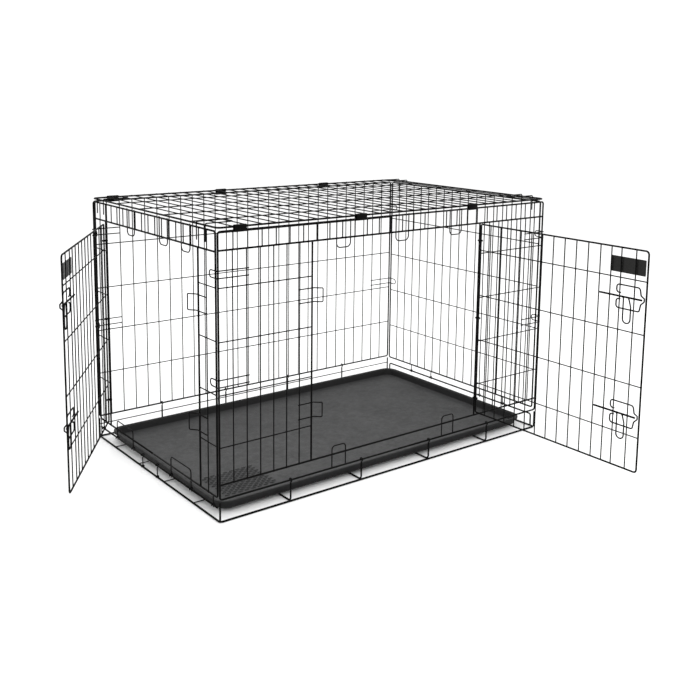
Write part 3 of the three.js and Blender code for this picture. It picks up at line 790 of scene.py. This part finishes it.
def door_point(door, along, out, up):
    """A point on a door at rest: along it from the hinge, out of its outer face, and up."""
    turn = Matrix.Rotation(math.radians(door["turn"]), 3, "Z")
    x, y = door["hinge"]
    return Vector((x, y, 0)) + turn @ Vector((along, door["side"] * out, up))


def build_door(name, door):
    def at(along, out, up):
        return door_point(door, along, out, up)

    width, rows = door["width"], door["rows"]
    low, high = rows[0], rows[-1]
    pitch = (width - sum(EDGE_BAYS)) / door["bays"]
    corners = [at(0, 0, low), at(width, 0, low), at(width, 0, high), at(0, 0, high)]
    parts = [closed_wire(corners, DOOR_FRAME_RADIUS, DOOR_BENDS)]
    inner, outer = MESH_RADIUS - DOOR_FRAME_RADIUS, DOOR_FRAME_RADIUS - MESH_RADIUS
    step = at(pitch, 0, 0) - at(0, 0, 0)
    start, end = at(pitch, inner, low), at(pitch, inner, high)
    parts.append(straight_wires(start, end, MESH_RADIUS, step, door["bays"]))
    place = pitch * door["bays"]
    for bay in EDGE_BAYS[:-1]:
        place += bay
        parts.append(straight_wires(at(place, inner, low), at(place, inner, high), MESH_RADIUS))
    for z in rows[1:-1]:
        parts.append(straight_wires(at(0, outer, z), at(width, outer, z), MESH_RADIUS))
    fit_out(f"wire_{name}_door", parts, door["gate"], "wire", WIRE, f"{name}_door")


PLATE_FAR = 120
PLATE_NEAR = 6
PLATE_HIGH = 43
PLATE_DROP = 25
PLATE_CORNER = 2.0
PLATE_THICK = 1.25
PLATE_EDGE = 0.35
PLATE_BORDER = 2.0
PLATE_SUNK = 0.3


def build_plate(name, door):
    """A blank plate: a thin block with rounded corners and a shallow sunk field."""
    far = door["width"] - PLATE_FAR
    long = PLATE_FAR - PLATE_NEAR - FRAME_RADIUS
    top = door["rows"][-1] - PLATE_DROP
    centre = door_point(door, far + long / 2, DOOR_FRAME_RADIUS + GAP, top - PLATE_HIGH / 2)
    deselect()
    bpy.ops.mesh.primitive_plane_add(size=1)
    plate = bpy.context.object
    plate.scale = (long * MM, PLATE_HIGH * MM, 1)
    bpy.ops.object.transform_apply(location=False, rotation=False, scale=True)
    bpy.ops.object.mode_set(mode="EDIT")
    bpy.ops.mesh.select_all(action="SELECT")
    bpy.ops.mesh.bevel(offset=PLATE_CORNER * MM, segments=4, affect="VERTICES")
    bpy.ops.mesh.select_all(action="SELECT")
    push((0, 0, PLATE_THICK * MM))
    bpy.ops.mesh.inset(thickness=PLATE_EDGE * MM, depth=PLATE_EDGE * MM)
    bpy.ops.mesh.inset(thickness=PLATE_BORDER * MM, depth=0)
    bpy.ops.mesh.inset(thickness=PLATE_SUNK * MM, depth=-PLATE_SUNK * MM)
    bpy.ops.object.mode_set(mode="OBJECT")
    hinge = door_point(door, 0, 0, 0)
    across = door_point(door, 1, 0, 0) - hinge
    out = door_point(door, 0, 1, 0) - hinge
    basis = Matrix((across, Vector((0, 0, 1)), out)).transposed()
    if basis.determinant() < 0:
        basis = Matrix((-across, Vector((0, 0, 1)), out)).transposed()
    plate.matrix_world = Matrix.Translation(centre * MM) @ basis.to_4x4()
    settle(plate)
    fit_out(f"{name}_blank_plate", [plate], door["gate"], "plate", PLATE, f"{name}_door_plate")


def bracket_outline(at, width):
    """A bracket from its upper curled end, round the pointed tip, to its lower curled end."""
    near, far = width - BRACKET_BACK, width - BRACKET_TIP
    flat = DOOR_FRAME_RADIUS + GAP + LATCH_RADIUS
    over = ROD_OUT + ROD_RADIUS + LATCH_RADIUS + 0.5
    return [
        at(near + 14, flat, 10),
        at(near, flat, 10),
        at(near, flat, BRACKET_HIGH),
        at(far - 4, flat, BRACKET_HIGH),
        at(far, flat, 12),
        at(far + 6, over, 4.5),
        at(far + 6, over, -4.5),
        at(far, flat, -12),
        at(far - 4, flat, -BRACKET_HIGH),
        at(near, flat, -BRACKET_HIGH),
        at(near, flat, -7),
        at(near + 13, flat, -7),
    ]


def handle_outline(at, width):
    """A loop that hangs from the bolt, with its front leg stepped in at the neck."""
    start = (ROD_RADIUS + 1) * math.sqrt(0.5)
    out = ROD_OUT + 4.6
    back, front = width - HANDLE_BACK - HANDLE_HALF, width - HANDLE_BACK + HANDLE_HALF
    return [
        at(back, ROD_OUT + start, -start),
        at(back, out, -6.6),
        at(back, out, -HANDLE_DROP),
        at(front, out, -HANDLE_DROP),
        at(front, out, -HANDLE_NECK),
        at(front - 6, out, -7),
        at(front - 7, ROD_OUT + start, -start),
    ]


def build_latch(name, door, which, z):
    def at(along, out, up):
        return door_point(door, along, out, z + up)

    latch = f"{name}_{which}"
    width = door["width"]
    bracket = bent_wire(bracket_outline(at, width), LATCH_RADIUS, BRACKET_BENDS)
    fit_out(f"{latch}_latch_bracket", [bracket], door["gate"], "hardware", HARDWARE, f"{latch}_bracket")
    ends = [at(width - ROD_BACK, ROD_OUT, 0), at(width - BOLT_TIP, ROD_OUT, 0)]
    bolt = bent_wire(ends, ROD_RADIUS, sides=14)
    fit_out(f"{latch}_slide_bolt", [bolt], f"{latch}_rod", "hardware", HARDWARE, f"{latch}_bolt")
    paddle = bent_wire(handle_outline(at, width), LATCH_RADIUS, HANDLE_BENDS)
    fit_out(f"{latch}_paddle_handle", [paddle], f"{latch}_paddle", "hardware", HARDWARE, f"{latch}_handle")


CLIP_LEVELS = (160, 420, 665)
CLIP_WIRE = 1.1
CLIP_RING = [(-5.0, -4.5), (5.0, -4.5), (5.0, 12.2), (-5.0, 12.2)]
CLIP_BEND = 4.6
END_CLIP_DROP = 10


def clip_turns(place, level):
    """Two touching turns of wire; place gives a ring's corner its X and Y."""
    turns = []
    for z in (level - CLIP_WIRE * 0.95, level + CLIP_WIRE * 0.95):
        ring = [(*place(along, out), z) for along, out in CLIP_RING]
        turns.append(closed_wire(ring, CLIP_WIRE, CLIP_BEND, 8))
    return turns


def build_clips():
    """Hinge clips: two turns of wire round the panel's post and the door's edge wire."""
    def front_place(along, out):
        return DOORWAY_X + along, FRONT_Y - out

    def end_place(along, out):
        return -POST_X - out, MIDDLE_Y + END_HINGE_Y + along

    for i, level in enumerate(CLIP_LEVELS, 1):
        turns = clip_turns(front_place, level)
        fit_out(f"front_hinge_coil_{i}", turns, "crate", "hardware", HARDWARE, f"front_hinge_clip_{i}")
        turns = clip_turns(end_place, level - END_CLIP_DROP)
        fit_out(f"end_hinge_coil_{i}", turns, "left_end", "hardware", HARDWARE, f"end_hinge_clip_{i}")


# ---------------------------------------------------------------- tray

# Each step goes in by the first value and up by the second, from the lip to the floor.
TRAY_STEPS = [
    (0.0, 6.4),
    (0.5, 0.7),
    (0.8, 0.3),
    (4.2, 0.0),
    (0.8, -0.5),
    (0.7, -0.9),
    (3.2, 0.0),
    (0.8, -0.4),
    (0.7, -1.0),
    (1.6, -17.2),
    (0.9, -2.2),
    (1.2, -1.2),
    (2.2, -0.95),
]
RIM_STEPS = 3
TRAY_CORNER = 42
TRAY_WALL = 2.6
GRIP_COLUMNS = 8
GRIP_ROWS = 8
GRIP_PITCH_X = 21
GRIP_PITCH_Y = 18.5
GRIP_X = -515
GRIP_Y = -266
GRIP_DASH = Vector((13, 5, 3.2))
GRIP_EDGE = 0.7


def build_tray():
    low, high = span("tray")
    middle = (low + high) / 2
    lip = high.z - sum(depth for _, depth in TRAY_STEPS[:RIM_STEPS])
    deselect()
    bpy.ops.mesh.primitive_plane_add(size=1, location=Vector((middle.x, middle.y, lip)) * MM)
    tray = bpy.context.object
    tray.scale = ((high.x - low.x) * MM, (high.y - low.y) * MM, 1)
    bpy.ops.object.transform_apply(location=True, rotation=True, scale=True)
    bpy.ops.object.mode_set(mode="EDIT")
    bpy.ops.mesh.select_all(action="SELECT")
    bpy.ops.mesh.bevel(offset=TRAY_CORNER * MM, segments=10, affect="VERTICES")
    bpy.ops.mesh.select_all(action="SELECT")
    for thickness, depth in TRAY_STEPS:
        bpy.ops.mesh.inset(thickness=thickness * MM, depth=depth * MM)
    bpy.ops.object.mode_set(mode="OBJECT")
    apply_modifier(tray, "SOLIDIFY", thickness=TRAY_WALL * MM, offset=-1, use_even_offset=True)
    floor_z = high.z + sum(depth for _, depth in TRAY_STEPS[RIM_STEPS:])
    parts = [tray]
    for shift in (0, 1):
        deselect()
        x, y = GRIP_X + shift * GRIP_PITCH_X / 2, MIDDLE_Y + GRIP_Y + shift * GRIP_PITCH_Y / 2
        first = Vector((x, y, floor_z))
        bpy.ops.mesh.primitive_cube_add(size=1, location=first * MM)
        dash = bpy.context.object
        dash.scale = GRIP_DASH * MM
        bpy.ops.object.transform_apply(location=True, rotation=True, scale=True)
        apply_modifier(dash, "BEVEL", width=GRIP_EDGE * MM, segments=1)
        repeat(dash, (GRIP_PITCH_X, 0, 0), GRIP_COLUMNS)
        repeat(dash, (0, GRIP_PITCH_Y, 0), GRIP_ROWS)
        parts.append(dash)
    fit_out("moulded_tray", parts, "tray_pan", "tray", TRAY, "tray")


# ---------------------------------------------------------------- studio

CRATE_MIDDLE = Vector((0, 0.385, 0.3))
LIGHTS = (
    ("key", (-1.6, -1.8, 3.4), 2.6, 58),
    ("fill", (2.8, -1.2, 2.4), 2.4, 20),
    ("back", (0.4, 3.2, 2.8), 2.6, 24),
)


def build_studio():
    deselect()
    bpy.ops.mesh.primitive_plane_add(size=40, location=(0, 0, -0.0005))
    floor = bpy.context.object
    floor.name = "studio_floor"
    finish, _, _, shader, _ = new_finish("pale_floor")
    shader.inputs["Base Color"].default_value = (0.9, 0.9, 0.9, 1)
    shader.inputs["Roughness"].default_value = 0.9
    shader.inputs["Specular IOR Level"].default_value = 0.1
    floor.data.materials.append(finish)

    world = bpy.data.worlds.new("studio")
    bpy.context.scene.world = world
    world.use_nodes = True
    backdrop = world.node_tree.nodes["Background"]
    backdrop.inputs["Color"].default_value = (1, 1, 1, 1)
    backdrop.inputs["Strength"].default_value = 1.16
    for name, place, size, power in LIGHTS:
        bpy.ops.object.light_add(type="AREA", location=place)
        light = bpy.context.object
        light.name = name
        light.data.size = size
        light.data.energy = power
        aim = CRATE_MIDDLE - Vector(place)
        light.rotation_euler = aim.to_track_quat("-Z", "Y").to_euler()
    bpy.context.scene.view_settings.view_transform = "Standard"


CAMERA_PLACE = (-1.7672, -2.0273, 1.1167)
CAMERA_YAW = math.radians(37.883)
CAMERA_PITCH = math.radians(8.739)
CAMERA_ROLL = math.radians(0.703)
CAMERA_LENS = 48.511
CAMERA_SHIFT = -0.163


def build_camera():
    bpy.ops.object.camera_add(location=CAMERA_PLACE)
    camera = bpy.context.object
    heading = Matrix.Rotation(-CAMERA_YAW, 4, "Z")
    tilt = Matrix.Rotation(math.pi / 2 - CAMERA_PITCH, 4, "X")
    camera.rotation_euler = (heading @ tilt @ Matrix.Rotation(CAMERA_ROLL, 4, "Z")).to_euler()
    camera.data.sensor_width = 36
    camera.data.lens = CAMERA_LENS
    camera.data.shift_y = CAMERA_SHIFT
    camera.data.dof.use_dof = False
    camera.data.clip_end = 60
    bpy.context.scene.camera = camera


build_base()
build_base_curls()
build_front()
build_back()
build_lid()
build_right_end()
build_left_end()
build_stops()
build_keepers()
build_lid_hooks()
build_sleeves()
for door_name, door_plan in DOORS.items():
    build_door(door_name, door_plan)
    build_plate(door_name, door_plan)
    for latch_name, latch_z in door_plan["latches"].items():
        build_latch(door_name, door_plan, latch_name, latch_z)
build_clips()
build_tray()
build_studio()
build_camera()
